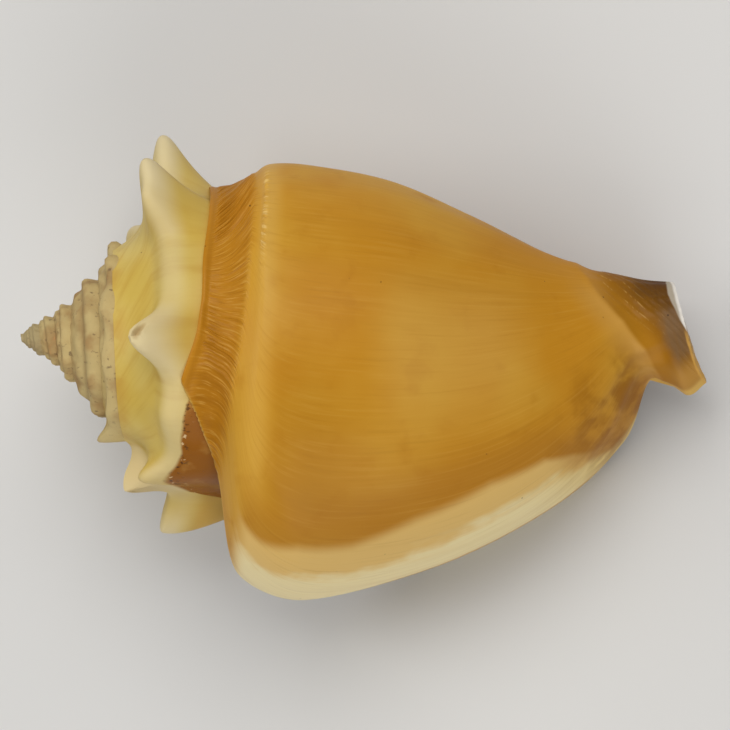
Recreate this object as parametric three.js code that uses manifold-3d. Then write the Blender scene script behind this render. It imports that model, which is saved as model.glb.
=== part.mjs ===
// A West Indian fighting conch shell, Strombus pugilis, lying on its aperture side. Millimetres.
// The shell grew as one piece, so it is one closed body: the coiled whorls, the solid pillar
// in their middle, the shoulder spines, the flared outer lip and the open mouth behind it.
//
// Shell frame: x runs from the apex to the siphonal canal along the coiling axis, y points away
// from the outer lip, and z points out of the back. A growth stage is counted in turns about x.
// It is 0 on the +y side, 0.25 on the back, and 0.5 at the finished lip.

import * as THREE from "three";
import { mergeVertices } from "three/addons/utils/BufferGeometryUtils.js";
import Module from "manifold-3d";

const TURN = 2 * Math.PI;
const AXIS = new THREE.Vector3(1, 0, 0);
const APEX_STAGE = -8;
const LIP_STAGE = 0.5;

// The resting shell is rolled about x and then pitched about y, so that its centre of mass is
// as low as it gets. It touches the ground with small flats on the body whorl and on the lip.
const REST_ROLL = THREE.MathUtils.degToRad(-3.65);
const REST_PITCH = THREE.MathUtils.degToRad(13.2);
const CONTACT_DEPTH = 0.3;

// One growth line is a curve through eleven stations, from the suture out to the canal: suture,
// trough of the ramp, brow, shoulder, belly, flank, waist, neck, notch, canal and beak.
// Each station gives the distance along the axis and the distance from it.
const SHOULDER = 3;
const NOTCH = 8;
const BEAK = 10;
const GROWTH_LINES = [
  { stage: -1, at: [[11.6, 11], [13.2, 12.3], [15.4, 15], [18, 17.1], [23, 17.7], [30, 15],
    [37.5, 10], [44.5, 6.4], [49, 5], [53, 4.3], [57, 3.8]] },
  { stage: -0.75, at: [[12.2, 11.9], [14.4, 13.4], [17, 16], [19.4, 17.9], [24.3, 18.5],
    [32.5, 15.7], [41, 10.8], [49, 7], [54, 5.5], [58.5, 4.6], [63, 3.9]] },
  { stage: -0.5, at: [[13.4, 12.9], [15.8, 14.2], [18.2, 16.4], [20.4, 18], [26, 18.8],
    [35.5, 17.2], [45.5, 12.3], [54.5, 8], [60.5, 6], [65, 4.9], [69.5, 4]] },
  { stage: -0.25, at: [[17.8, 16.2], [20.4, 16.8], [23, 18.4], [25.4, 20], [31.5, 20.1],
    [41.5, 17.9], [51.5, 13.4], [61, 9.2], [67, 6.8], [71.5, 5.2], [76, 4.2]] },
  { stage: 0, at: [[23.6, 18.7], [26.6, 19], [29.2, 20.5], [31.4, 21.7], [36.5, 21.5],
    [46.5, 19.4], [56.5, 14.8], [66, 9], [72, 6], [77, 4.1], [81.2, 3.1]] },
  { stage: 0.25, at: [[24.3, 18.9], [26.6, 19.2], [28.8, 21], [30.9, 22.5], [36, 22.6],
    [46.5, 21], [58, 16.8], [68, 11.4], [74, 8], [78.4, 6.2], [82.2, 5.4]] },
];

// The finished lip at the same stations, as x, y and z.
const LIP_EDGE = [
  [20.6, -5.9, 17.8], [22.7, -11, 16.2], [24.9, -17.5, 12], [27, -28.9, -3],
  [35.5, -32.5, -13], [50.2, -28.6, -16], [69, -19.4, -13], [75.6, -12.4, -7.5],
  [79, -4.7, 0], [83.4, -7.2, 1.5], [85.8, -5.6, 2.5],
];

// The spire before stage -1: where its shoulder and its suture lie, and the shoulder's radius.
const SPIRE = [
  { stage: -8, shoulder: 0.35, suture: 0.05, radius: 0.5 },
  { stage: -6.5, shoulder: 1.1, suture: 0.55, radius: 1.25 },
  { stage: -6, shoulder: 1.6, suture: 0.85, radius: 1.65 },
  { stage: -5.5, shoulder: 2.3, suture: 1.4, radius: 2.1 },
  { stage: -5, shoulder: 3.1, suture: 2.2, radius: 2.55 },
  { stage: -4.5, shoulder: 4.3, suture: 2.95, radius: 3.3 },
  { stage: -4, shoulder: 5.2, suture: 4, radius: 3.95 },
  { stage: -3.5, shoulder: 6.1, suture: 4.9, radius: 4.95 },
  { stage: -3, shoulder: 8.2, suture: 6.2, radius: 6.9 },
  { stage: -2.5, shoulder: 9.8, suture: 6.6, radius: 9.1 },
  { stage: -2, shoulder: 11.4, suture: 9.4, radius: 10.5 },
  { stage: -1.5, shoulder: 12.4, suture: 10.4, radius: 12.1 },
  { stage: -1, shoulder: 18, suture: 11.6, radius: 17.1 },
];

// Shoulder spines: stage, reach away from the axis, lean toward the apex, half width in turns,
// and how far each one runs down the flank, in stations.
const SPINES = [
  { stage: -0.11, reach: 1, lean: 0.6, width: 0.04, foot: 0.8 },
  { stage: -0.22, reach: 1.8, lean: 1.2, width: 0.04, foot: 0.8 },
  { stage: -0.34, reach: 3, lean: 2, width: 0.04, foot: 0.9 },
  { stage: -0.455, reach: 7.3, lean: 2.8, width: 0.038, foot: 1.8 },
  { stage: -0.548, reach: 2, lean: 6, width: 0.04, foot: 0.6 },
  { stage: -0.66, reach: 0.8, lean: 1.2, width: 0.03, foot: 0.5 },
  { stage: -0.76, reach: 4.4, lean: 5.2, width: 0.036, foot: 0.6 },
  { stage: -0.922, reach: 8, lean: 3.2, width: 0.034, foot: 0.7 },
  { stage: -1.022, reach: 9, lean: 0, width: 0.034, foot: 1 },
  { stage: -1.156, reach: 8, lean: 2.8, width: 0.034, foot: 0.7 },
  { stage: -1.28, reach: 4.6, lean: 2.6, width: 0.034, foot: 0.6 },
  { stage: -1.39, reach: 3, lean: 2.4, width: 0.032, foot: 0.6 },
  { stage: -1.5, reach: 0.6, lean: 2.6, width: 0.028, foot: 0.6 },
  { stage: -1.6, reach: 0.8, lean: 1.6, width: 0.028, foot: 0.6 },
  { stage: -1.7, reach: 0.9, lean: 1.5, width: 0.028, foot: 0.6 },
  { stage: -1.8, reach: 0.9, lean: 1.3, width: 0.028, foot: 0.6 },
  { stage: -1.9, reach: 0.9, lean: 1.1, width: 0.028, foot: 0.6 },
  { stage: -2, reach: 0.9, lean: 0.6, width: 0.026, foot: 0.6 },
];
const SUTURE_LEDGE = 1.03;
const ROOT_DEPTH = 0.9;
const SPINE_POINTEDNESS = 1.5;
const SPINE_SPREAD_ON_RAMP = 1.3;

// The canal end bends up and away from the lip.
const CANAL_BEND = { from: 52, to: 92, y: 4.6, z: 2 };

// The wall, thinner along the canal. The hollow starts at HOLLOW_FROM and runs to the lip in
// four pieces, and the last cutter goes on past the lip and past the canal.
const WALL = 2.3;
const CANAL_WALL = 1.5;
const HOLLOW_FROM = -1.42;
const HOLLOW_PIECES = [
  { from: HOLLOW_FROM, to: -0.96, steps: 22, hollowSteps: 8 },
  { from: -0.96, to: -0.5, steps: 24, hollowSteps: 9 },
  { from: -0.5, to: 0.03, steps: 22, hollowSteps: 10 },
  { from: 0.03, to: LIP_STAGE, steps: 28, hollowSteps: 16, cutTo: 0.62 },
];
const OVERLAP = 0.012;
const SHORT_EDGE = 0.08;
const NEEDLE = 0.01;
const TIDY_ROUNDS = 12;
const CUTTER_PAST_CANAL = 4;
const SPIRE_PIECE = 0.46;
const FINE_SPIRE_FROM = -3;

// The pillar that the whorls turn round, from the apex to beside the canal, as distance along
// the axis and radius. It fills the narrow gap that the whorls' sections leave round the axis.
const PILLAR = [[0.15, 0.12], [1, 0.5], [3, 1.2], [8, 2.4], [20, 4], [48, 4.6], [60, 3.9],
  [70, 3.2], [78, 2.7], [81.6, 2.4], [82.4, 1.6]];
const PILLAR_SIDES = 14;
const CORE_GAP = 0.35;
const CUTTER_CORE = 0.1;

const smoothstep = (x, from, to) => THREE.MathUtils.smoothstep(x, from, to);

// A smooth curve through values at uneven knots, with each slope taken from its neighbours.
function through(knots, values, x) {
  const last = knots.length - 1;
  let i = 0;
  while (i < last - 1 && x > knots[i + 1]) i += 1;
  const slope = (k) => {
    const before = Math.max(k - 1, 0);
    const after = Math.min(k + 1, last);
    return (values[after] - values[before]) / (knots[after] - knots[before]);
  };
  const step = knots[i + 1] - knots[i];
  const t = THREE.MathUtils.clamp((x - knots[i]) / step, 0, 1);
  const t2 = t * t;
  const t3 = t2 * t;
  return (2 * t3 - 3 * t2 + 1) * values[i] + (t3 - 2 * t2 + t) * step * slope(i)
    + (3 * t2 - 2 * t3) * values[i + 1] + (t3 - t2) * step * slope(i + 1);
}

function axisAt(x) {
  const share = smoothstep(x, CANAL_BEND.from, CANAL_BEND.to);
  return { y: share * CANAL_BEND.y, z: share * CANAL_BEND.z };
}

// The lip's points as distances from the bent axis and the turn at which each one lies.
const lip = LIP_EDGE.map(([x, y, z]) => {
  const axis = axisAt(x);
  const turn = Math.atan2(z - axis.z, y - axis.y) / TURN;
  return { at: [x, Math.hypot(y - axis.y, z - axis.z)], turn: turn < 0 ? turn + 1 : turn };
});
const growthLines = [...GROWTH_LINES, { stage: LIP_STAGE, at: lip.map((point) => point.at) }];
const growthStages = growthLines.map((line) => line.stage);
const stationNumbers = lip.map((_, i) => i);
const lipTurns = lip.map((point) => point.turn);
const FIRST_LINE = growthLines[0];

// The stations of the growth line at one stage. The spire's lines have the shape of the
// first full one: its flank scaled to the shoulder's radius, and its ramp stretched between the
// shoulder and the suture, which lies on the widest part of the whorl before. The ramp is straight
// on the early whorls and hollows later.
function stationsAt(stage) {
  if (stage >= FIRST_LINE.stage) {
    return stationNumbers.map((i) => [0, 1].map((part) =>
      through(growthStages, growthLines.map((line) => line.at[i][part]), stage)));
  }
  const knots = SPIRE.map((row) => row.stage);
  const value = (name, at) => through(knots, SPIRE.map((row) => row[name]), at);
  const shoulder = [value("shoulder", stage), value("radius", stage)];
  const suture = [value("suture", stage), SUTURE_LEDGE * value("radius", stage - 1)];
  const model = FIRST_LINE.at;
  const scale = shoulder[1] / model[SHOULDER][1];
  const hollowRamp = smoothstep(stage, -2.5, -1);
  return model.map((point, i) => [0, 1].map((part) => {
    if (i >= SHOULDER) return shoulder[part] + (point[part] - model[SHOULDER][part]) * scale;
    const modelShare = (point[part] - model[0][part]) / (model[SHOULDER][part] - model[0][part]);
    const share = THREE.MathUtils.lerp(i / SHOULDER, modelShare, hollowRamp);
    return suture[part] + (shoulder[part] - suture[part]) * share;
  }));
}

function spineAt(turn, station) {
  const offset = { x: 0, radius: 0 };
  for (const { stage, reach, lean, width, foot } of SPINES) {
    const spread = station < SHOULDER ? SPINE_SPREAD_ON_RAMP : foot;
    const along = Math.exp(-(((station - SHOULDER) / spread) ** 2));
    const share = along * Math.exp(-((Math.abs(turn - stage) / width) ** SPINE_POINTEDNESS));
    offset.x -= lean * share;
    offset.radius += reach * share;
  }
  return offset;
}

function place(x, radius, turn, axis) {
  const angle = turn * TURN;
  return new THREE.Vector3(x, axis.y + radius * Math.cos(angle), axis.z + radius * Math.sin(angle));
}

// One section of a whorl, from the axis out along the growth line and back to the axis.
// For the hollow, the line is moved in by the thickness of the wall.
function section(stage, stations, isHollow) {
  const lineStage = Math.min(stage, LIP_STAGE);
  const points = stationsAt(lineStage);
  const blend = smoothstep(lineStage, 0.05, LIP_STAGE);
  const curve = (station, part) => through(stationNumbers, points.map((p) => p[part]), station);
  const ring = stations.map((station) => {
    const x = curve(station, 0);
    const radius = curve(station, 1);
    const lipTurn = through(stationNumbers, lipTurns, station);
    const turn = stage + blend * (lipTurn - LIP_STAGE);
    const axis = axisAt(x);
    if (isHollow) {
      const wall = THREE.MathUtils.lerp(WALL, CANAL_WALL, smoothstep(station, NOTCH - 1, BEAK));
      const before = Math.max(station - 0.05, 0);
      const after = Math.min(station + 0.05, BEAK);
      const along = curve(after, 0) - curve(before, 0);
      const slope = new THREE.Vector2(along, curve(after, 1) - curve(before, 1)).normalize();
      const past = station === BEAK ? CUTTER_PAST_CANAL : 0;
      return { x: x + slope.y * wall + past, radius: Math.max(radius - slope.x * wall, 0.4), turn, axis };
    }
    const spine = spineAt(turn, station);
    return { x: x + spine.x, radius: radius + spine.radius, turn, axis };
  });
  if (!isHollow) ring.unshift({ ...ring[0], radius: ROOT_DEPTH * ring[0].radius });
  const core = isHollow ? CUTTER_CORE : CORE_GAP;
  const backOf = (end) => ({ ...end, radius: Math.min(0.3 * end.radius, core) });
  return [backOf(ring[0]), ...ring, backOf(ring[ring.length - 1])]
    .map((p) => place(p.x, p.radius, p.turn, p.axis)).reverse();
}

// A closed body from rings of equal count. Each end is a fan about the middle of the stretch
// between its ring's first and last points, which for a whorl lies on the axis.
function loft(rings) {
  const count = rings[0].length;
  const lastRing = (rings.length - 1) * count;
  const middles = [rings[0], rings.at(-1)].map((ring) => ring[0].clone().lerp(ring.at(-1), 0.5));
  const positions = [...rings.flat(), ...middles].flatMap((p) => [p.x, p.y, p.z]);
  const startMiddle = lastRing + count;
  const endMiddle = startMiddle + 1;
  const index = [];
  for (let j = 0; j < count; j += 1) {
    const next = (j + 1) % count;
    for (let ring = 0; ring < lastRing; ring += count) {
      const a = ring + j;
      const b = ring + next;
      index.push(a, b, a + count, b, b + count, a + count);
    }
    index.push(startMiddle, next, j);
    index.push(endMiddle, lastRing + j, lastRing + next);
  }
  const geometry = new THREE.BufferGeometry();
  geometry.setAttribute("position", new THREE.Float32BufferAttribute(positions, 3));
  geometry.setIndex(index);
  return geometry;
}

const wasm = await Module();
wasm.setup();

function solid(geometry) {
  const bare = geometry.index ? geometry.toNonIndexed() : geometry.clone();
  bare.deleteAttribute("normal");
  bare.deleteAttribute("uv");
  const merged = mergeVertices(bare);
  return new wasm.Manifold(new wasm.Mesh({
    numProp: 3,
    vertProperties: new Float32Array(merged.attributes.position.array),
    triVerts: new Uint32Array(merged.index.array),
  }));
}

function evenly(from, to, steps) {
  return Array.from({ length: steps + 1 }, (_, i) => from + (to - from) * i / steps);
}

// Part of a whorl, with a section at each stage.
function whorl(stages, stations, isHollow = false) {
  return solid(loft(stages.map((stage) => section(stage, stations, isHollow))));
}

const RAMP = [0, 0.7, 1.4, 2, 2.4, 2.7, 3, 3.3, 3.7];
const FLANK = [4.4, 5.1, 5.8, 6.5, 7.2, 7.6, 8, 8.6, 9.3, 10];
const HOLLOW = [0, 1, 2, 3, 3.7, 4.7, 5.8, 6.9, 8, 9, 10];
const SMALL = [0, 1.2, 2.4, 3, 3.5, 4.5];

// The spire, solid. Its pieces are a little under half a turn, so that no two of their flat
// ends lie in one plane unless they are neighbours.
function spire() {
  let body = null;
  for (let to = HOLLOW_FROM; to > APEX_STAGE; to -= SPIRE_PIECE) {
    const from = Math.max(to - SPIRE_PIECE, APEX_STAGE);
    const piece = whorl(evenly(from, to, to > FINE_SPIRE_FROM ? 15 : 8), SMALL);
    body = body ? body.add(piece) : piece;
  }
  return body;
}

function pillar() {
  const rings = PILLAR.map(([x, radius]) => evenly(0, 1, PILLAR_SIDES).slice(0, -1)
    .map((turn) => place(x, radius, turn, axisAt(x))));
  return solid(loft(rings));
}

// The hollow of one piece of a whorl. Its last section is a little smaller and farther on, which
// joins it to the hollow of the next piece.
function hollowOf({ from, to, hollowSteps, cutTo = to }) {
  const rings = evenly(from, cutTo, hollowSteps).map((stage) => section(stage, HOLLOW, true));
  if (cutTo === to) {
    const end = rings.at(-1);
    const centre = end.reduce((sum, p) => sum.add(p), new THREE.Vector3()).divideScalar(end.length);
    rings.push(end.map((p) => p.clone().lerp(centre, 0.1).applyAxisAngle(AXIS, OVERLAP * TURN)));
  }
  return solid(loft(rings));
}

// The whole shell. Each hollow stops at the whorls that were there before it, whose outer faces
// are its inner wall, so it is cut back by them before it is cut out of the body.
function shellBody() {
  const middle = pillar();
  const hollows = [];
  let body = spire().add(middle);
  for (const piece of HOLLOW_PIECES) {
    hollows.push(hollowOf(piece).subtract(body));
    body = body.add(whorl(evenly(piece.from, piece.to, piece.steps), [...RAMP, ...FLANK]));
  }
  return hollows.reduce((shell, hollow) => shell.subtract(hollow), body);
}

// A triangle turned so that its longest edge comes first, and its height over that edge.
function heightOf(triangle, positions) {
  const corners = triangle.map((i) => new THREE.Vector3().fromBufferAttribute(positions, i));
  const lengths = corners.map((p, i) => p.distanceTo(corners[(i + 1) % 3]));
  const base = lengths.indexOf(Math.max(...lengths));
  const turned = [0, 1, 2].map((i) => triangle[(base + i) % 3]);
  const area = new THREE.Triangle(...corners).getArea();
  return { turned, height: 2 * area / lengths[base] };
}

// Shrinks edges shorter than SHORT_EDGE to one of their ends. An edge may shrink where its two
// ends have just two neighbours in common, and where nothing beside it has changed yet.
function withoutShortEdges(triangles, positions) {
  const around = new Map();
  triangles.forEach((corners, i) => corners.forEach((corner) => {
    around.set(corner, [...(around.get(corner) ?? []), i]);
  }));
  const near = (corner) => new Set(around.get(corner).flatMap((i) => triangles[i]));
  const changed = new Set();
  const point = (i) => new THREE.Vector3().fromBufferAttribute(positions, i);
  for (const corners of [...triangles]) {
    for (let k = 0; k < 3; k += 1) {
      const kept = corners[k];
      const lost = corners[(k + 1) % 3];
      if (changed.has(kept) || changed.has(lost)) continue;
      if (point(kept).distanceTo(point(lost)) > SHORT_EDGE) continue;
      const common = [...near(kept)].filter((corner) => near(lost).has(corner));
      if (common.length !== 4) continue;
      [...near(kept), ...near(lost)].forEach((corner) => changed.add(corner));
      for (const i of around.get(lost)) {
        triangles[i] = triangles[i].map((corner) => (corner === lost ? kept : corner));
      }
    }
  }
  return triangles.filter((corners) => new Set(corners).size === 3);
}

// Takes away needles, which are triangles with almost no height. A needle and its neighbour over
// the long edge make a quadrilateral, and the other diagonal of that splits it better.
function withoutNeedles(triangles, positions) {
  const owner = new Map();
  const edgesOf = ([a, b, c]) => [[a, b].join(), [b, c].join(), [c, a].join()];
  const claim = (i) => edgesOf(triangles[i]).forEach((edge) => owner.set(edge, i));
  triangles.forEach((_, i) => claim(i));
  triangles.forEach((_, i) => {
    const { turned: [a, b, c], height } = heightOf(triangles[i], positions);
    if (height > NEEDLE) return;
    const other = owner.get([b, a].join());
    const d = triangles[other].find((corner) => corner !== a && corner !== b);
    if (owner.has([c, d].join()) || owner.has([d, c].join())) return;
    const better = [[c, a, d], [d, b, c]];
    if (Math.min(...better.map((t) => heightOf(t, positions).height)) < height) return;
    [i, other].flatMap((k) => edgesOf(triangles[k])).forEach((edge) => owner.delete(edge));
    [triangles[i], triangles[other]] = better;
    claim(i);
    claim(other);
  });
  return triangles;
}

// A joined body has edges much shorter than the shell is smooth, and needles beside them. Each
// round shrinks the short edges and turns the needles that are left.
function tidied(body) {
  const mesh = body.getMesh();
  const raw = new THREE.BufferGeometry();
  raw.setAttribute("position", new THREE.BufferAttribute(mesh.vertProperties.slice(), 3));
  raw.setIndex(new THREE.BufferAttribute(mesh.triVerts.slice(), 1));
  const geometry = mergeVertices(raw);
  const { position } = geometry.attributes;
  const { array } = geometry.index;
  let triangles = [];
  for (let i = 0; i < array.length; i += 3) triangles.push([...array.slice(i, i + 3)]);
  triangles = triangles.filter((corners) => new Set(corners).size === 3);
  for (let round = 0; round < TIDY_ROUNDS; round += 1) {
    triangles = withoutNeedles(withoutShortEdges(triangles, position), position);
  }
  geometry.setIndex(triangles.flat());
  return geometry;
}

// The shell as it rests: turned, flattened where it touches the ground, and moved so that the
// middle of its box's underside is the origin. Splinters beside the largest piece are left out.
function restingShell() {
  const turned = tidied(shellBody());
  const rest = new THREE.Euler(REST_ROLL, REST_PITCH, 0, "YXZ");
  turned.applyMatrix4(new THREE.Matrix4().makeRotationFromEuler(rest));
  turned.computeBoundingBox();
  const { min, max } = turned.boundingBox;
  const size = max.clone().sub(min);
  const groundHeight = min.z + CONTACT_DEPTH;
  const below = new THREE.BoxGeometry(2 * size.x, 2 * size.y, size.z);
  below.translate((min.x + max.x) / 2, (min.y + max.y) / 2, groundHeight - size.z / 2);
  const pieces = solid(turned).subtract(solid(below)).decompose();
  pieces.sort((a, b) => b.volume() - a.volume());
  const geometry = tidied(pieces[0].translate([0, 0, -groundHeight]));
  geometry.computeBoundingBox();
  const box = geometry.boundingBox;
  return geometry.translate(-(box.min.x + box.max.x) / 2, -(box.min.y + box.max.y) / 2, 0);
}

const ochre = new THREE.MeshStandardMaterial({ color: 0xbe8c32, roughness: 0.35, metalness: 0 });
const shell = new THREE.Mesh(restingShell(), ochre);
shell.name = "shell";

const group = new THREE.Group();
group.add(shell);

export default group;
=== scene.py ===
# A West Indian fighting conch shell, Strombus pugilis, lying on its mouth side on a pale floor.
import math

import bpy
import numpy as np
from mathutils import Matrix, Vector


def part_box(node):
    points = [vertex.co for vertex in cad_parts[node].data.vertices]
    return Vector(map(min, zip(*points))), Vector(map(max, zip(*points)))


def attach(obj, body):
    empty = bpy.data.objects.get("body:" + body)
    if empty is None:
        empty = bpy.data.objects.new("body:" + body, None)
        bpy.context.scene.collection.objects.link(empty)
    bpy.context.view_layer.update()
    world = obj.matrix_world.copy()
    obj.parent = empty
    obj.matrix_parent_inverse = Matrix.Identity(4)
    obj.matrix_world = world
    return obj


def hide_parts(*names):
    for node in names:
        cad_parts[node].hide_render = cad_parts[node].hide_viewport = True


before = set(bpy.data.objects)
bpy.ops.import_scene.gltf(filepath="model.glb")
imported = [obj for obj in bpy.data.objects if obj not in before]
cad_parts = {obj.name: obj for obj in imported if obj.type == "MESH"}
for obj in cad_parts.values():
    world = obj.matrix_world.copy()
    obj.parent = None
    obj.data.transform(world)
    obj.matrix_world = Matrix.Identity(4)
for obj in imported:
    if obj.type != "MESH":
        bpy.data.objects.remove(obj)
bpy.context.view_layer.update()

# The shell. The animal built it at the lip, a growth line at a time, while it turned about the
# axis from the spire's tip to the siphonal canal. It is one piece of aragonite, hollow from the
# middle whorls on, with spines on the shoulder and a flared lip round the open mouth.
#
# In the shell's own frame x runs from the tip to the canal, y points away from the outer lip and
# z out of the back, in millimetres. A stage counts turns about x. It is 0 on the +y side, 0.25
# on the back and 0.5 at the finished lip. Each growth line runs through eleven stations, each a
# distance along the axis and one from it: suture, trough, brow, shoulder, belly, flank, waist,
# neck, notch, canal and beak.
TURN = 2 * math.pi
APEX, LIP = -8, 0.5
SHOULDER, NOTCH, BEAK = 3, 8, 10
GROWTH_LINES = {
    -1: ((11.6, 11), (13.4, 12), (15.9, 14.2), (18, 17.1), (23, 17.7), (30, 15),
         (37.5, 10), (44.5, 6.4), (49, 5), (53, 4.3), (57, 3.8)),
    -0.75: ((12.2, 11.9), (14.4, 13.2), (17.3, 15.6), (19.4, 17.9), (24.3, 18.5), (32.5, 15.7),
            (41, 10.8), (49, 7), (54, 5.5), (58.5, 4.6), (63, 3.9)),
    -0.5: ((13.4, 12.9), (15.8, 14.2), (18.2, 16.4), (20.4, 18), (26, 18.8), (35.5, 17.2),
           (45.5, 12.3), (54.5, 8), (60.5, 6), (65, 4.9), (69.5, 4)),
    -0.25: ((17.8, 16.2), (20.4, 16.8), (23, 18.4), (25.4, 20), (31.5, 20.1), (41.5, 17.9),
            (51.5, 13.4), (61, 9.2), (67, 6.8), (71.5, 5.2), (76, 4.2)),
    0: ((23.6, 18.7), (26.6, 19), (29.2, 20.5), (31.4, 21.7), (36.5, 21.5), (46.5, 19.4),
        (56.5, 14.8), (66, 9), (72, 6), (77, 4.1), (80.7, 3.1)),
    0.25: ((23.3, 18.9), (26.1, 19.2), (28.7, 21), (30.9, 22.5), (36, 22.6), (46.5, 21),
           (58, 16.8), (68, 11.4), (74, 8), (78.4, 6.2), (82.1, 5.4)),
    0.42: ((22.9, 18.8), (24.6, 19.4), (26.4, 21.2), (28.4, 27), (35.7, 30.7), (48.9, 28.7),
           (65.2, 22.3), (73, 15.5), (77.3, 8.3), (81.5, 9.3), (84, 8.2)),
}
# The finished lip at the same stations, as x, y and z.
LIP_EDGE = (
    (20.6, -5.9, 17.8), (22.7, -11, 16.2), (24.9, -17.5, 12), (27.4, -30, -3),
    (35.5, -32.8, -13), (50.2, -28.6, -16), (69, -19.4, -13), (76, -12.9, -7.5),
    (79, -5.3, 0), (83.3, -7.5, 1.5), (85.8, -5.9, 2.5))
# The spire before stage -1: stage, where its shoulder and its suture lie, and its radius.
SPIRE = (
    (-8, 0.35, 0.05, 0.5), (-6.5, 1.1, 0.55, 1.25), (-6, 1.6, 0.85, 1.65),
    (-5.5, 2.3, 1.4, 2.1), (-5, 3.1, 2.2, 2.55), (-4.5, 4.3, 2.95, 3.3), (-4, 5.2, 4, 3.95),
    (-3.5, 6.1, 4.9, 5.25), (-3, 8.2, 6.2, 6.9), (-2.5, 9.8, 6.6, 9.5), (-2, 11.4, 9.4, 10.5),
    (-1.5, 12.4, 10.4, 12.1), (-1, 18, 11.6, 17.1))
# The spines: stage, reach from the axis, lean toward the tip, half width in turns, and how far
# each one runs down the flank and up the ramp, in stations.
SPINES = (
    (-0.11, 1, 0.6, 0.04, 0.8, 1.2), (-0.22, 1.8, 1.2, 0.04, 0.8, 1.2),
    (-0.34, 3, 2, 0.04, 0.9, 1.2), (-0.455, 7.3, 3.5, 0.031, 1.8, 0.6),
    (-0.512, -0.7, 5.8, 0.014, 0.25, 1.8), (-0.512, 2.1, 0.2, 0.011, 0.08, 0.5),
    (-0.56, 1.2, 4.4, 0.028, 0.5, 1), (-0.66, 0.6, 0.8, 0.03, 0.5, 1.1),
    (-0.752, 4.6, 4.4, 0.026, 0.55, 0.9),
    (-0.896, 1.6, 1.4, 0.013, 0.4, 0.6), (-0.924, 7.2, 2.6, 0.026, 0.8, 0.9),
    (-1.022, 8.6, 0.3, 0.032, 0.96, 0.9), (-1.156, 8.6, 3.2, 0.032, 0.7, 1),
    (-1.28, 4.6, 2.6, 0.034, 0.6, 1), (-1.39, 3, 2.4, 0.032, 0.6, 1),
    (-1.505, 1, 2.5, 0.045, 0.6, 1.2), (-1.6, 0.5, 0.6, 0.028, 0.6, 1),
    (-1.7, 0.6, 0.6, 0.034, 0.6, 1), (-1.8, 0.6, 0.6, 0.034, 0.6, 1),
    (-1.9, 0.6, 0, 0.03, 0.6, 1), (-2, 0.9, -0.3, 0.03, 0.6, 1))
SPINE_POINTEDNESS = 1.7
OLDER_SIDE, NEWER_SIDE = 0.85, 1.15
# The canal end bends up and away from the lip, between these two places on the axis, by y and z.
CANAL_BEND = (52, 92, 4.6, 2)
# The wall, the rounding of the lip's rim with rows of points as stages before the lip, and how
# deep a whorl is rooted in the one before.
WALL, LIP_WALL, CANAL_WALL = 2.3, 1.7, 1.5
RIM_ROUND = 0.9
RIM_ROWS = (0.0065, 0.0048, 0.0034, 0.0022, 0.0013, 0.0006)
ROOT_DEPTH, CORE_SHARE, CORE_GAP = 0.9, 0.3, 0.35
HOLLOW_CORE, HOLLOW_LEAST_RADIUS, HOLLOW_PAST_CANAL = 0.1, 0.4, 4
# The hollow starts at a stage of its own. A stretch of it reaches a little into the next one, and
# the last stretch goes on past the lip. The solid spire before it is joined from short pieces.
HOLLOW_FROM, HOLLOW_PAST_LIP, OVERLAP = -1.42, 0.62, 0.012
SPIRE_PIECE, SPIRE_ROWS = 0.46, 44
OUTER_SLOT, MOUTH_SLOT = 0, 1


def smoothstep(x, low, high):
    t = np.clip((x - low) / (high - low), 0, 1)
    return t * t * (3 - 2 * t)


def through(knots, values, x):
    """A smooth curve through values at uneven knots, each slope taken from its neighbours."""
    knots, values, x = (np.asarray(a, float) for a in (knots, values, x))
    spread = (-1,) + (1,) * (values.ndim - 1)
    slope = np.empty_like(values)
    slope[1:-1] = (values[2:] - values[:-2]) / (knots[2:] - knots[:-2]).reshape(spread)
    slope[0] = (values[1] - values[0]) / (knots[1] - knots[0])
    slope[-1] = (values[-1] - values[-2]) / (knots[-1] - knots[-2])
    i = np.searchsorted(knots[1:-1], x)
    step = (knots[i + 1] - knots[i]).reshape(spread)
    t = np.clip((x - knots[i]).reshape(spread) / step, 0, 1)
    return ((2 * t**3 - 3 * t**2 + 1) * values[i] + (t**3 - 2 * t**2 + t) * step * slope[i]
            + (3 * t**2 - 2 * t**3) * values[i + 1] + (t**3 - t**2) * step * slope[i + 1])


def axis_at(x):
    low, high, y, z = CANAL_BEND
    share = smoothstep(x, low, high)
    return share * y, share * z


lip = np.array(LIP_EDGE)
lip_y, lip_z = axis_at(lip[:, 0])
lip_radius = np.hypot(lip[:, 1] - lip_y, lip[:, 2] - lip_z)
lip_turns = np.arctan2(lip[:, 2] - lip_z, lip[:, 1] - lip_y) / TURN % 1
line_stages = [*GROWTH_LINES, LIP]
lines = np.array([*GROWTH_LINES.values(), np.c_[lip[:, 0], lip_radius]])
spire = np.array(SPIRE)


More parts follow.
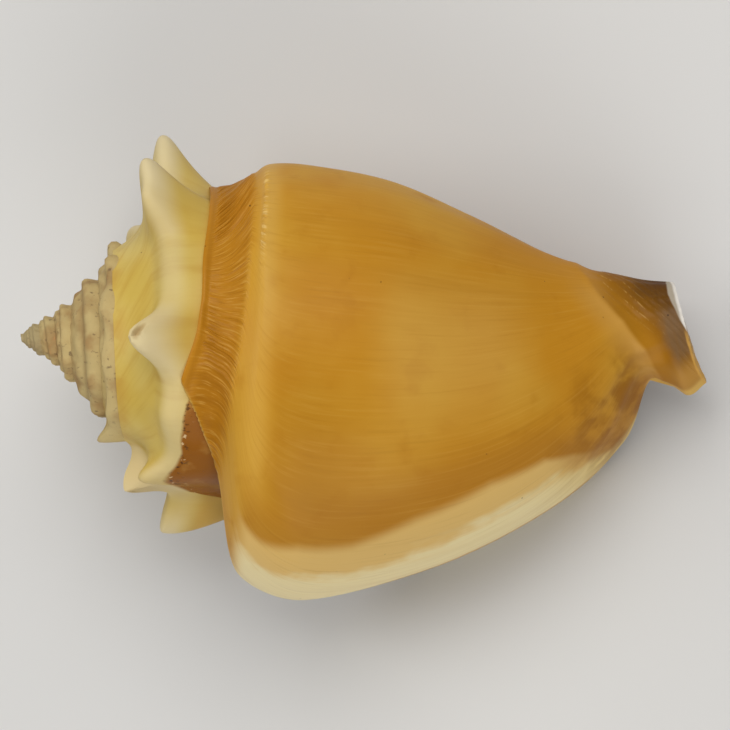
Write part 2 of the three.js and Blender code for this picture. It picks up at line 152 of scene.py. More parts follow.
def growth_lines(stages):
    """The eleven stations of the growth line at each stage, as [stage, station, x or radius].

    A line of the spire has the shape of the first full one: its flank scaled to the shoulder's
    radius, and its ramp stretched from the shoulder to the suture on the whorl before.
    """
    full = through(line_stages, lines, np.maximum(stages, line_stages[0]))
    knots = spire[:, 0]
    radius = through(knots, spire[:, 3], stages)
    shoulder = np.stack([through(knots, spire[:, 1], stages), radius], 1)
    suture = np.stack([through(knots, spire[:, 2], stages), through(knots, spire[:, 3], stages - 1)], 1)
    model = lines[0]
    flank = (shoulder[:, None] + (model[SHOULDER:] - model[SHOULDER])
             * (radius / model[SHOULDER, 1])[:, None, None])
    straight = (np.arange(SHOULDER) / SHOULDER)[:, None]
    curved = (model[:SHOULDER] - model[0]) / (model[SHOULDER] - model[0])
    hollowed = smoothstep(stages, -2.5, -1)[:, None, None]
    share = straight + (curved - straight) * hollowed
    ramp = suture[:, None] + (shoulder - suture)[:, None] * share
    early = np.concatenate([ramp, flank], 1)
    return np.where((stages < line_stages[0])[:, None, None], early, full)


def spine_offset(turn, station):
    """How far the spines move a point along the axis and away from it."""
    along = np.zeros_like(turn)
    away = np.zeros_like(turn)
    for stage, reach, lean, width, foot, root in SPINES:
        spread = np.where(station < SHOULDER, root, foot)
        side = width * np.where(turn < stage, OLDER_SIDE, NEWER_SIDE)
        share = (np.exp(-(((station - SHOULDER) / spread) ** 2))
                 * np.exp(-((np.abs(turn - stage) / side) ** SPINE_POINTEDNESS)))
        along -= lean * share
        away += reach * share
    return along, away


# The sculpture. Growth pauses left riblets on the ramp, which slant across it. The crest of the
# shoulder carries beads, the spire has nodules on spiral cords, and cords run round the canal.
marks = np.random.default_rng(11)
RIBLET_HALF_WIDTH, RIBLET_FOOT = 0.0021, 0.0022
RIBLET_TABLE = np.linspace(0, 1, 4001)
riblets = np.zeros_like(RIBLET_TABLE)
riblet_places = np.cumsum(marks.uniform(0.0042, 0.0085, 157))
for place in riblet_places:
    gap = (RIBLET_TABLE - place + 0.5) % 1 - 0.5
    riblets = np.maximum(riblets, marks.uniform(0.3, 1) * np.exp(-((gap / RIBLET_HALF_WIDTH) ** 2)))
WAVES = [(marks.uniform(5, 34), marks.uniform(-0.3, 0.3), marks.uniform(0, TURN)) for _ in range(9)]
SWELLS = [(marks.uniform(2, 9), marks.uniform(0, TURN)) for _ in range(4)]
NODULES = 11
SLANT, SLANT_TO = 0.05, 2
CORD_PITCH = 0.24
RIBLET_HEIGHT, BEAD_HEIGHT, CORD_HEIGHT = 0.24, 0.36, 0.1
NODULE_HEIGHT, GROOVE_DEPTH = 0.05, 0.012
CREASE_DEPTH, KNOB_PIT, BLADE_PIT = 0.4, 1.1, 0.6
KNOB_STAGE, KNOB_STATION = -0.756, 3.03


def ridge(value, middle, width):
    return np.exp(-(((value - middle) / width) ** 2))


def relief(stage, station, turn):
    """How far the sculpture stands out of the smooth shell."""
    mark = stage + SLANT * np.minimum(station, SLANT_TO)
    newest = smoothstep(stage, -0.42, -0.15)
    older = 1 - smoothstep(stage, -0.62, -0.42)

    # On the body whorl: riblets, the edge along the suture and the lip, the crest with its beads,
    # and faint waves on the flank.
    grain = np.interp(mark, RIBLET_TABLE, riblets, period=1)
    ramp = smoothstep(station, 0.18, 0.45) * (1 - smoothstep(station, 1.9, 2.1))
    swell = 0.65 + 0.12 * sum(np.sin(TURN * rate * mark + phase) for rate, phase in SWELLS)
    strength = 1 - 0.5 * ridge(stage, 0.27, 0.08) + 0.7 * ridge(stage, 0.1, 0.05)
    height = RIBLET_HEIGHT * newest * ramp * grain * swell * strength
    height += newest * (0.15 * ridge(station, 0.1, 0.12) - 0.08 * ridge(station, 0.36, 0.1))
    lift = 0.2 * smoothstep(stage, 0.12, 0.3) + 0.4 * smoothstep(stage, 0.36, 0.41)
    height += lift * (1 - smoothstep(station, 0.1, 0.6))
    left_edge = newest * smoothstep(stage, 0.1, 0.2) * (1 - smoothstep(stage, 0.4, 0.46))
    height += left_edge * (0.1 + 0.16 * grain) * ridge(station, 1.98, 0.09)
    crest = smoothstep(stage, 0.02, 0.14) * (1 - smoothstep(stage, 0.3, 0.42))
    height += crest * (0.1 * ridge(station, 2.9, 0.2) - 0.1 * ridge(station, 2.4, 0.25))
    beads = smoothstep(stage, 0.03, 0.08) * (1 - smoothstep(stage, 0.17, 0.22))
    height += beads * BEAD_HEIGHT * ridge(station, 2.72, 0.17) * grain
    waves = sum(np.sin(TURN * (rate * stage + drift * station) + phase) for rate, drift, phase in WAVES)
    height += 0.018 * smoothstep(station, 2.9, 3.6) * waves

    # On the older whorls: the keel, faint lines on the ramp, a fold below the blade, and the pits
    # of the front knob and the blade.
    keel = older * smoothstep(stage, -1.5, -1.2)
    bare = 1 - smoothstep(stage, -0.84, -0.8) * (1 - smoothstep(stage, -0.7, -0.66))
    height += keel * bare * (0.2 * ridge(station, 3.1, 0.25) - 0.15 * ridge(station, 3.7, 0.3))
    height += 0.05 * keel * ridge(station, 1.5, 1.2) * (grain + 0.3 * waves)
    wall = smoothstep(station, 3.1, 3.3) * (1 - smoothstep(station, 3.8, 4.1))
    height -= CREASE_DEPTH * wall * ridge(stage, -0.491, 0.005)
    height -= KNOB_PIT * ridge(station, KNOB_STATION, 0.1) * ridge(turn, KNOB_STAGE, 0.007)
    height += 0.4 * ridge(station, 2.95, 0.3) * ridge(turn, -0.748, 0.018)
    height -= BLADE_PIT * ridge(station, 2.97, 0.09) * ridge(turn, -0.513, 0.006)

    # On the early spire: two rows of nodules with grooves between them.
    early = (1 - smoothstep(stage, -1.9, -1.45)) * smoothstep(stage, -7.5, -6)
    size = np.interp(stage, spire[:, 0], spire[:, 3])
    beat = 0.5 + 0.5 * np.cos(TURN * NODULES * turn)
    rows = ridge(station, 3, 0.45) + 0.7 * ridge(station, 1.3, 0.5)
    height += early * size * NODULE_HEIGHT * rows * (0.1 + 1.3 * beat)
    grooves = ridge(station, 2.1, 0.25) + ridge(station, 0.3, 0.3) + smoothstep(station, 3.4, 3.8)
    height -= early * size * GROOVE_DEPTH * grooves

    # Round the canal: the edge of its trough, and cords beyond it.
    canal = smoothstep(stage, -0.1, 0.12)
    rise = np.interp(stage, (0.1, 0.178, 0.256, 0.346, 0.5), (7.4, 7.7, 8.15, 8.43, 8.4))
    height += canal * (0.12 * ridge(station, rise, 0.1) - 0.3 * ridge(station, rise + 0.4, 0.25))
    cord = station - 7.88 - 6.8 * (stage - 0.166)
    share = canal * smoothstep(cord, -0.2, 0) * (1 - smoothstep(cord, 1.3, 1.6))
    share = share * smoothstep(station, 7.6, 8)
    beat = np.cos(TURN * cord / CORD_PITCH + 0.8 * np.sin(9 * cord))
    uneven = 0.7 + 0.3 * np.sin(TURN * 5 * stage + 3 * cord)
    height += share * CORD_HEIGHT * (0.5 + 0.5 * beat) ** 2 * uneven
    return height


def placed(x, radius, turn):
    y, z = axis_at(x)
    angle = turn * TURN
    return np.stack([x, y + radius * np.cos(angle), z + radius * np.sin(angle)], -1)


def outer_face(stages, stations):
    """Points of the shell's outer face, with its sculpture and its rounded lip.

    Each station has its own column of stages.
    """
    step, stride = 0.0015, 0.03
    rim_from = 0.4
    columns = []
    for stage, station in zip(stages.T, stations):
        points, rim = surface(stage, [station])[:, 0], surface([LIP], [station])[0]
        later, sooner = surface(stage + step, [station]), surface(stage - step, [station])
        lower = surface(stage, [min(station + stride, BEAK)])
        upper = surface(stage, [max(station - stride, 0)])
        out = np.cross(later - sooner, lower - upper)[:, 0]
        out /= np.linalg.norm(out, axis=-1, keepdims=True)
        y, z = axis_at(points[:, 0])
        turn = np.arctan2(points[:, 2] - z, points[:, 1] - y) / TURN
        turn = turn + np.round(stage - turn)
        inset = np.clip(1 - np.linalg.norm(points - rim, axis=-1) / RIM_ROUND, 0, 1)
        inset = np.where(stage > rim_from, inset, 0)
        height = relief(stage, np.full_like(stage, station), turn) * (1 - inset)
        height -= RIM_ROUND * (1 - np.sqrt(1 - inset**2))
        columns.append(points + out * height[:, None])
    return np.stack(columns, 1)


def surface(stages, stations, wall=0):
    """Points of the smooth shell at each stage and station, or of the hollow behind it."""
    stages, stations = np.asarray(stages, float), np.asarray(stations, float)
    held = np.minimum(stages, LIP)
    points = growth_lines(held).transpose(1, 0, 2)
    numbers = np.arange(BEAK + 1)
    x, radius = np.moveaxis(through(numbers, points, stations), -1, 0)
    blend = smoothstep(held, 0.05, LIP)
    turn = stages + blend * (through(numbers, lip_turns, stations) - LIP)[:, None]
    if not wall:
        along, away = spine_offset(turn, stations[:, None] + 0 * turn)
        return placed(x + along, radius + away, turn).swapaxes(0, 1)
    stride = 0.05
    before = through(numbers, points, np.clip(stations - stride, 0, BEAK))
    after = through(numbers, points, np.clip(stations + stride, 0, BEAK))
    slope = after - before
    slope /= np.linalg.norm(slope, axis=-1, keepdims=True)
    # The wall thins to the lip and along the canal, and it rounds off at the rim.
    thin = smoothstep(stations, NOTCH - 1, BEAK)[:, None]
    thick = wall + (CANAL_WALL - wall) * thin
    thick = thick + (LIP_WALL - wall) * smoothstep(held, 0.35, LIP) * (1 - thin)
    thick = thick * (1 - 0.4 * thin * smoothstep(held, 0.4, 0.48))
    to_rim = (LIP - held) * TURN * radius
    inset = np.clip(1 - to_rim / RIM_ROUND, 0, 1)
    thick = thick - 0.8 * RIM_ROUND * (1 - np.sqrt(1 - inset**2))
    past_canal = np.where(stations == BEAK, HOLLOW_PAST_CANAL, 0)[:, None]
    x = x + slope[..., 1] * thick + past_canal
    radius = np.maximum(radius - slope[..., 0] * thick, HOLLOW_LEAST_RADIUS)
    return placed(x, radius, turn).swapaxes(0, 1)


def select(piece):
    bpy.ops.object.select_all(action="DESELECT")
    piece.select_set(True)
    bpy.context.view_layer.objects.active = piece


def closed(name, rings, stages, stations, slot=OUTER_SLOT):
    """A closed body from a grid wrapped into rings, with a fan at each end.

    Its map holds the stage and the station at each point, and its faces are of one slot.
    """
    middles = (rings[[0, -1], :1] + rings[[0, -1], -1:]) / 2
    rows = np.concatenate([middles[:1].repeat(rings.shape[1], 1), rings,
                           middles[1:].repeat(rings.shape[1], 1)])
    rows = np.concatenate([rows, rows[:, :1]], 1)
    count, around = rows.shape[:2]
    stages = np.broadcast_to(stages.T, rings.shape[1::-1]).T
    bpy.ops.object.select_all(action="DESELECT")
    bpy.ops.mesh.primitive_grid_add(x_subdivisions=around - 1, y_subdivisions=count - 1)
    piece = bpy.context.object
    piece.name = name
    mesh = piece.data
    mesh.vertices.foreach_set("co", rows.reshape(-1).astype(np.float32))
    corner = np.empty(len(mesh.loops), np.int32)
    mesh.loops.foreach_get("vertex_index", corner)
    stage = np.concatenate([stages[:1], stages, stages[-1:]])
    stage = np.concatenate([stage, stage[:, :1]], 1)
    station = np.concatenate([stations, stations[:1]])[None]
    stage, station = (a.ravel() for a in np.broadcast_arrays(stage, station))
    growth = mesh.uv_layers[0]
    growth.name = "growth"
    growth.uv.foreach_set("vector", np.stack([stage, station], 1)[corner].ravel())
    for _ in (OUTER_SLOT, MOUTH_SLOT):
        mesh.materials.append(None)
    mesh.polygons.foreach_set("material_index", np.full(len(mesh.polygons), slot, np.int32))
    bpy.ops.object.mode_set(mode="EDIT")
    bpy.ops.mesh.select_all(action="SELECT")
    bpy.ops.mesh.remove_doubles(threshold=1e-5)
    bpy.ops.mesh.normals_make_consistent(inside=False)
    bpy.ops.object.mode_set(mode="OBJECT")
    return piece


def riblet_rows(low, high):
    """Rows on the crests and at the feet of the riblets, as stages at the ramp's upper end."""
    closest = 0.0009
    places = np.concatenate([riblet_places + shift for shift in (-2, -1, 0, 1)])
    feet = [places - RIBLET_FOOT, places, places + RIBLET_FOOT]
    rows = np.sort(np.concatenate(feet)) - SLANT * SLANT_TO
    rows = rows[np.append(True, np.diff(rows) > closest)]
    rows = rows[(rows > low - SLANT * SLANT_TO) & (rows < high)]
    return np.concatenate([[low - SLANT * SLANT_TO], rows, [high]])


def whorl(name, low, high, rows, stations):
    """A stretch of whorl. Where no number of rows is given, the rows follow the riblets."""
    if rows:
        stages = np.repeat(np.linspace(low, high, rows + 1)[:, None], len(stations), 1)
    else:
        rows = riblet_rows(low, high)
        if high == LIP:
            plain = rows < LIP - RIM_ROWS[0]
            rows = np.concatenate([rows[plain], LIP - np.array(RIM_ROWS), [LIP]])
        slant = SLANT * (SLANT_TO - np.minimum(stations, SLANT_TO))
        stages = np.clip(rows[:, None] + slant, low, high)
    face = outer_face(stages, stations)
    y, z = axis_at(face[:, :, 0])
    out = np.stack([0 * y, face[:, :, 1] - y, face[:, :, 2] - z], -1)
    radius = np.linalg.norm(out[:, [0, -1]], axis=-1, keepdims=True)
    root = face[:, :1] - out[:, :1] * (1 - ROOT_DEPTH)
    root_core = np.minimum(CORE_SHARE * ROOT_DEPTH, CORE_GAP / radius[:, :1])
    first = root - out[:, :1] * (ROOT_DEPTH - root_core)
    last = face[:, -1:] - out[:, -1:] * (1 - np.minimum(CORE_SHARE, CORE_GAP / radius[:, 1:]))
    rings = np.concatenate([first, root, face, last], 1)
    around = np.concatenate([[-2, -1], stations, [BEAK + 1]])
    stages = np.concatenate([stages[:, :1], stages[:, :1], stages, stages[:, -1:]], 1)
    return closed(name, rings, stages, around)


def hollow(name, low, high, rows, stations, runs_out=False):
    """The space inside a stretch of whorl. Its last ring is a little smaller and farther on."""
    stages = np.linspace(low, high, rows + 1)
    if runs_out:
        past = 0.003
        plain = (stages < LIP - RIM_ROWS[0]) | (stages > LIP + 2 * past)
        rim = [*(LIP - np.array(RIM_ROWS)), LIP, LIP + past]
        stages = np.sort(np.concatenate([stages[plain], rim]))
    face = surface(stages, stations, WALL)
    y, z = axis_at(face[:, :, 0])
    out = np.stack([0 * y, face[:, :, 1] - y, face[:, :, 2] - z], -1)
    radius = np.linalg.norm(out[:, [0, -1]], axis=-1, keepdims=True)
    keep = np.minimum(CORE_SHARE, HOLLOW_CORE / radius)
    first = face[:, :1] - out[:, :1] * (1 - keep[:, :1])
    last = face[:, -1:] - out[:, -1:] * (1 - keep[:, 1:])
    rings = np.concatenate([first, face, last], 1)
    around = np.concatenate([[-2], stations, [BEAK + 1]])
    if not runs_out:
        smaller = 0.1
        end = rings[-1] + (rings[-1].mean(0) - rings[-1]) * smaller
        angle = OVERLAP * TURN
        turned = np.stack([end[:, 0], end[:, 1] * math.cos(angle) - end[:, 2] * math.sin(angle),
                           end[:, 1] * math.sin(angle) + end[:, 2] * math.cos(angle)], 1)
        rings = np.concatenate([rings, turned[None]])
        stages = np.append(stages, high + OVERLAP)
    return closed(name, rings, stages, around, MOUTH_SLOT)


def joined(body, other, operation, keep=False):
    """Joins other to body, or cuts it out of body."""
    select(body)
    bpy.ops.object.modifier_add(type="BOOLEAN")
    modifier = body.modifiers[-1]
    modifier.object = other
    modifier.operation = operation
    modifier.solver = "MANIFOLD"
    bpy.ops.object.modifier_apply(modifier=modifier.name)
    if not keep:
        bpy.data.objects.remove(other)
    return body


def spaced(*stretches):
    """Stations from stretches of (first, last, steps), each one after the other."""
    runs = [np.linspace(low, high, steps, endpoint=False) for low, high, steps in stretches]
    return np.append(np.concatenate(runs), stretches[-1][1])


# The stations of the rows of points, close together where the relief is fine.
fine = spaced((0, 0.5, 9), (0.5, 2, 14), (2, 4, 28), (4, 7.4, 26), (7.4, 10, 42))
middling = spaced((0, 2, 12), (2, 4, 24), (4, 8, 20), (8, 10, 12))
small = spaced((0, 3, 16), (3, 4.5, 8))
inner = spaced((0, 3, 8), (3, 8, 26), (8, 10, 10))

body = None
high = HOLLOW_FROM
while high > APEX:
    low = max(high - SPIRE_PIECE, APEX)
    piece = whorl("turn", low, high, SPIRE_ROWS, small)
    body = joined(body, piece, "UNION") if body else piece
    high -= SPIRE_PIECE

# The pillar that the whorls turn round, as places on the axis and radii. Its end shows in the
# canal, with the colour that the inside has there.
PILLAR = np.array(((0.15, 0.12), (1, 0.5), (3, 1.2), (8, 2.4), (20, 4), (48, 4.6), (60, 3.9),
                   (70, 3.2), (78, 2.7), (81, 2.3), (82, 1.5)))
PILLAR_ROWS, PILLAR_SIDES = 60, 32
PILLAR_STAGE, PILLAR_STATION = 0.3, 8.6
pillar_x = np.linspace(PILLAR[0, 0], PILLAR[-1, 0], PILLAR_ROWS)[:, None]
pillar_radius = through(PILLAR[:, 0], PILLAR[:, 1], pillar_x[:, 0])[:, None]
pillar_turn = np.arange(PILLAR_SIDES)[None] / PILLAR_SIDES
pillar_rings = placed(*np.broadcast_arrays(pillar_x, pillar_radius, pillar_turn))
pillar = closed("pillar", pillar_rings, np.full(PILLAR_ROWS, PILLAR_STAGE),
                np.full(PILLAR_SIDES, PILLAR_STATION), MOUTH_SLOT)
body = joined(body, pillar, "UNION")

# Each stretch of the hollow stops at the whorls that were there before it, so it is cut back by
# them before the stretch of whorl round it is joined on.
hollows = []
for low, high, rows, stations, hollow_rows in (
        (HOLLOW_FROM, -0.96, 96, middling, 26), (-0.96, -0.5, 110, middling, 30),
        (-0.5, -0.02, 0, fine, 40), (-0.02, LIP, 0, fine, 60)):
    runs_out = high == LIP
    space = hollow("space", low, HOLLOW_PAST_LIP if runs_out else high, hollow_rows, inner, runs_out)
    hollows.append(joined(space, body, "DIFFERENCE", keep=True))
    body = joined(body, whorl("turn", low, high, rows, stations), "UNION")
for space in hollows:
    body = joined(body, space, "DIFFERENCE")

shell = body
shell.name = "conch_shell"
shell.data.name = "conch_shell"

# The shell lies tilted, as it comes to rest, in the middle of its box, and flat where it touches
# the ground.
ROLL, PITCH = math.radians(-3.65), math.radians(13.2)
mesh = shell.data
points = np.empty(len(mesh.vertices) * 3, np.float32)
mesh.vertices.foreach_get("co", points)
points = points.reshape(-1, 3).astype(float)
roll = np.array(((1, 0, 0), (0, math.cos(ROLL), -math.sin(ROLL)), (0, math.sin(ROLL), math.cos(ROLL))))
pitch = np.array(((math.cos(PITCH), 0, math.sin(PITCH)), (0, 1, 0), (-math.sin(PITCH), 0, math.cos(PITCH))))
rest = pitch @ roll
points = points @ rest.T / 1000
low, high = (np.array(corner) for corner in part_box("shell"))
law = surface(np.linspace(APEX, LIP, 400), fine).reshape(-1, 3) @ rest.T / 1000
shift = (low + high) / 2 - (law.min(0) + law.max(0)) / 2
shift[2] = high[2] - law[:, 2].max()
points += shift
points[:, 2] = np.maximum(points[:, 2], 0)
mesh.vertices.foreach_set("co", points.ravel().astype(np.float32))
mesh.update()
select(shell)
bpy.ops.object.shade_smooth_by_angle(angle=math.radians(38))


class Socket:
    """An output of a node, on which arithmetic adds Math nodes."""

    def __init__(self, out):
        self.out = out

    def math(self, operation, *values, **settings):
        return node(self.out.id_data, "ShaderNodeMath", {"operation": operation, **settings}, *values)

    def __add__(self, other):
        return self.math("ADD", self, other)

    def __sub__(self, other):
        return self.math("SUBTRACT", self, other)

    def __rsub__(self, other):
        return self.math("SUBTRACT", other, self)

    def __mul__(self, other):
        return self.math("MULTIPLY", self, other)

    __radd__, __rmul__ = __add__, __mul__

    def rising(self, low, high):
        """0 below low and 1 above high, with a smooth step between."""
        return node(self.out.id_data, "ShaderNodeMapRange", {"interpolation_type": "SMOOTHSTEP"},
                    self, low, high, 0, 1)

    def falling(self, low, high):
        return 1 - self.rising(low, high)

    def curve(self, *stops):
        """A line through stops of (place, level); the levels stay between 0 and 1."""
        first, last = stops[0][0], stops[-1][0]
        across = node(self.out.id_data, "ShaderNodeMapRange", {}, self, first, last, 0, 1)
        levels = [((place - first) / (last - first), (level, level, level, 1)) for place, level in stops]
        return node(self.out.id_data, "ShaderNodeValToRGB", {"stops": levels}, across)

    def least(self, other):
        return self.math("MINIMUM", self, other)


def node(tree, kind, settings, *values, out=0):
    """A node of this kind: its settings, then the values or links of its sockets in order."""
    made = tree.nodes.new(kind)
    for name, value in settings.items():
        if name == "stops":
            ramp = made.color_ramp.elements
            while len(ramp) < len(value):
                ramp.new(0.5)
            for stop, (place, colour) in zip(ramp, value):
                stop.position = place
                stop.color = colour
        else:
            setattr(made, name, value)
    for place, value in enumerate(values):
        if isinstance(value, Socket):
            tree.links.new(value.out, made.inputs[place])
        elif value is not None:
            made.inputs[place].default_value = value
    return Socket(made.outputs[out])


def tone(red, green, blue):
    """A colour given as on a screen, from 0 to 255."""
    parts = np.array((red, green, blue)) / 255
    linear = np.where(parts < 0.04045, parts / 12.92, ((parts + 0.055) / 1.055) ** 2.4)
    return (*linear.tolist(), 1)


def over(under, colour, share):
    """Colour laid over another by a share, which varies over the surface."""
    return node(share.out.id_data, "ShaderNodeMix", {"data_type": "RGBA"},
                share, None, None, None, None, None, under, colour, out=2)


def growth_sockets(material):
    """The stage and the station at each point, and its place in millimetres."""
    tree = material.node_tree
    growth = node(tree, "ShaderNodeUVMap", {"uv_map": "growth"})
    stage = node(tree, "ShaderNodeSeparateXYZ", {}, growth)
    station = node(tree, "ShaderNodeSeparateXYZ", {}, growth, out=1)
    place = node(tree, "ShaderNodeTexCoord", {}, out=3)
    place = node(tree, "ShaderNodeVectorMath", {"operation": "SCALE"}, place, None, None, 1000)
    return tree, stage, station, place


def spots(tree, place, scale, detail=2, roughness=0.5):
    return node(tree, "ShaderNodeTexNoise", {}, place, None, scale, detail, roughness)


def along(tree, x, y, z=0):
    return node(tree, "ShaderNodeCombineXYZ", {}, x, y, z)


# The outside: ochre on the body, browner on the ramp, cream along the lip, dark at the canal,
# worn yellow and cream on the older whorls, and a glossy brown glaze on the wall by the mouth, deepened
# under the lip by painted shade.
outside = bpy.data.materials.new("shell_outside")
outside.use_nodes = True
tree, stage, station, place = growth_sockets(outside)
mark = stage + SLANT * station.least(SLANT_TO)
broad = spots(tree, place, 0.05, 3)
medium = spots(tree, place, 0.25, 3)
fine_grain = spots(tree, place, 1.4, 4)
streak = spots(tree, along(tree, mark * 46, station * 0.25), 1, 4, 0.6)
thread = spots(tree, along(tree, mark * 330, station * 0.9), 1, 3, 0.6)
spiral = spots(tree, along(tree, mark * 1.5, station * 7), 1, 3, 0.6)

# The body whorl's ochre, its crest paled by a painted highlight, and the bands along the lip.
colour = over(over(tone(186, 128, 30), tone(196, 146, 48), broad.rising(0.35, 0.65)),
              tone(172, 112, 20), medium.rising(0.55, 0.8) * 0.5)
colour = over(colour, tone(176, 118, 26), station.falling(1.7, 2.2))
# Painted highlight: the shoulder's crest is paled where light would catch it.
crest_highlight = station.rising(2.1, 2.85) * station.falling(2.9, 3.5) * mark.falling(0.4, 0.55)
crest_highlight = crest_highlight * (1 - stage.rising(0.16, 0.24) * 0.45)
colour = over(colour, tone(208, 164, 78), crest_highlight * 0.6)
lip_side = station.rising(2.6, 3.1)
band = stage - station.curve((2.6, 0.445), (3.3, 0.43), (3.9, 0.412), (4.5, 0.406), (5.1, 0.39),
                             (5.75, 0.379), (6.3, 0.387), (6.6, 0.41), (7, 0.455), (7.6, 0.49))
colour = over(colour, tone(170, 112, 26), lip_side * band.rising(-0.085, -0.045) * 0.6)
colour = over(colour, tone(222, 186, 112),
              lip_side * band.rising(-0.036, -0.022) * station.falling(6.2, 7.2) * 0.85)
ragged = band + (streak - 0.5) * 0.05 + (medium - 0.5) * 0.03
colour = over(colour, over(tone(230, 212, 160), tone(224, 196, 124), station.rising(5.8, 6.8)),
              lip_side * ragged.rising(-0.006, 0.016))
rim = stage - station.curve((3, 0.5), (3.8, 0.484), (4.4, 0.465), (4.9, 0.446), (5.4, 0.438), (5.9, 0.443),
                            (6.6, 0.466), (7.4, 0.498))
colour = over(colour, tone(178, 120, 40),
              rim.rising(-0.003, 0.004) * rim.falling(0.008, 0.05) * station.rising(3.8, 4.8)
              * station.falling(6.2, 6.8) * 0.7)
colour = over(colour, tone(214, 180, 96), stage.rising(0.49, 0.497) * station.falling(2.6, 3.2) * 0.6)
newest_ramp = station.rising(0.3, 0.8) * station.falling(1.6, 2.4)
newest_ramp = newest_ramp * stage.rising(0.3, 0.42) * stage.falling(0.48, 0.5)
colour = over(colour, tone(146, 92, 14), newest_ramp * (0.5 + streak.rising(0.4, 0.7) * 0.4))
pale = station.rising(4.6, 5.2) * station.falling(6, 6.8)
pale = pale * stage.rising(0.14, 0.22) * stage.falling(0.24, 0.32)
colour = over(colour, tone(204, 164, 84), pale * 0.35)
olive = station.rising(3, 3.6) * station.falling(4, 5.2)
olive = olive * stage.rising(0.2, 0.3) * stage.falling(0.34, 0.37)
colour = over(colour, tone(164, 108, 10), olive * 0.6)
colour = over(colour, tone(138, 84, 8), station.rising(6.2, 7.2) * stage.rising(0.26, 0.36)
              * medium.rising(0.35, 0.6) * 0.75)

# The canal: a golden trough with pale cords, umber and violet at the end, the violet partly painted shade,
# and a worn white tip, grey with painted shade on its inner side.
canal = station.rising(7.4, 8.1)
cord = station - 6.8 * stage
beyond = cord.rising(6.6, 7)
crease = stage.curve((0.1, 0.74), (0.178, 0.77), (0.256, 0.815), (0.346, 0.843), (0.5, 0.84)) * 10
past_crease = station - crease
colour = over(colour, tone(190, 142, 66), past_crease.rising(-0.7, -0.1) * stage.rising(0.1, 0.2) * 0.7)
colour = over(colour, over(tone(164, 110, 20), tone(132, 84, 10), past_crease.rising(0.15, 0.8)),
              past_crease.rising(-0.05, 0.1) * canal * 0.95)
cord_shade = node(tree, "ShaderNodeMath", {"operation": "COSINE"}, (cord - 6.75) * (TURN / CORD_PITCH))
cord_shade = cord_shade.rising(0.75, 1) * spiral.rising(0.42, 0.6)
colour = over(colour, tone(200, 156, 84), canal * beyond * cord_shade * 0.5)
# Violet at the canal's end: partly the canal's own stain, partly painted shade on its far side.
violet_and_shade = (station + (medium - 0.5) * 0.6).rising(9, 9.35)
violet_and_shade = violet_and_shade * stage.rising(0.22, 0.3) * stage.falling(0.37, 0.43)
umber = (cord + (medium - 0.5) * 0.8).rising(7, 8) * station.rising(8.2, 9)
colour = over(colour, tone(92, 58, 16), umber * (spiral.rising(0.3, 0.7) * 0.2 + 0.75))
colour = over(colour, tone(116, 88, 58), violet_and_shade * (spiral.rising(0.3, 0.7) * 0.2 + 0.75))
colour = over(colour, tone(74, 40, 14), station.rising(8.6, 9.6) * stage.falling(0.1, 0.2) * 0.8)
colour = over(colour, tone(178, 130, 58), station.rising(8.5, 9.2) * stage.rising(0.38, 0.45))
colour = over(colour, tone(212, 172, 90), stage.rising(0.466, 0.48) * station.rising(7.6, 8.2) * 0.85)
colour = over(colour, tone(206, 158, 78), station.rising(9.86, 9.93) * stage.rising(0.32, 0.36) * 0.7)
# The worn white tip, grey with painted shade toward the inside of the canal.
end = station - 10 * stage.curve((0.02, 1), (0.1, 0.972), (0.2, 0.968), (0.3, 0.985), (0.34, 1))
colour = over(colour, over(tone(168, 156, 138), tone(218, 212, 202), station.rising(9.86, 9.95)),
              end.rising(-0.02, 0.05) * stage.falling(0.33, 0.35))

# Growth lines all over, strongest on the ramp, where they are partly painted highlight and shade of its
# riblets, and painted highlights on the beads of the crest.
# Painted highlights on the beads of the shoulder's crest.
beads = station.rising(2.5, 2.62) * station.falling(2.75, 2.9)
beads = beads * stage.rising(0.03, 0.08) * stage.falling(0.15, 0.2)
colour = over(colour, tone(232, 200, 128), beads * thread.rising(0.5, 0.62) * 0.6)
# Pale and dark growth lines on the ramp, partly painted highlight and painted shade standing for its
# riblets.
ramp_glint_and_shade_lines = station.rising(0.2, 0.5) * station.falling(1.9, 2.3)
colour = over(colour, tone(134, 84, 14), ramp_glint_and_shade_lines * thread.falling(0.36, 0.48) * 0.32)
colour = over(colour, tone(208, 160, 76), ramp_glint_and_shade_lines * thread.rising(0.54, 0.64) * 0.3)
lines = 1 - canal * 0.85
colour = over(colour, tone(158, 104, 20), streak.rising(0.5, 0.75) * lines * 0.15)
colour = over(colour, tone(210, 164, 74), thread.rising(0.5, 0.75) * lines * 0.17)
colour = over(colour, tone(150, 98, 22), thread.falling(0.28, 0.48) * lines * 0.16)

